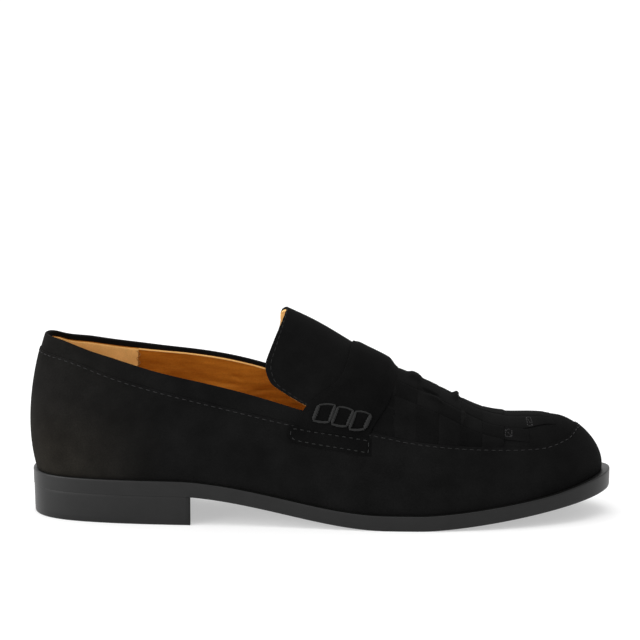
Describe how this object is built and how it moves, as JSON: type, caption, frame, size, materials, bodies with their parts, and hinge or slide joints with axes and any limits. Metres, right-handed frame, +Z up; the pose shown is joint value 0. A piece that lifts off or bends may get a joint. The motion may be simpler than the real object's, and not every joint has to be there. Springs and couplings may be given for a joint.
{
  "type": "woven penny loafer",
  "caption": "Right shoe: hollow black suede upper with woven vamp, tongue, saddle strap with stitched tabs, tan insole, thin rimmed sole and low heel with hollow breast",
  "frame": {"origin": "middle of the shoe's box seen from above, on the floor", "axes": "+X to the toe, +Y to the wearer's left, which is the inner side of this right shoe, +Z up"},
  "size_m": [0.259, 0.0866, 0.0921],
  "materials": {
    "sole_rubber": "smooth semi-matt black edge",
    "heel_rubber": "smooth semi-matt black block",
    "tan_leather": "smooth tan sock leather",
    "upper_suede": "black suede with a fine nap",
    "tongue_suede": "black suede, tan leather lining",
    "strap_suede": "black suede with cut edges"
  },
  "bodies": {
    "root": {"outsole": "sole_rubber", "heel": "heel_rubber", "insole": "tan_leather", "upper": "upper_suede", "tongue": "tongue_suede", "saddle_strap": "strap_suede", "strap_tab_outer": "strap_suede", "strap_tab_inner": "strap_suede"}
  },
  "joints": []
}
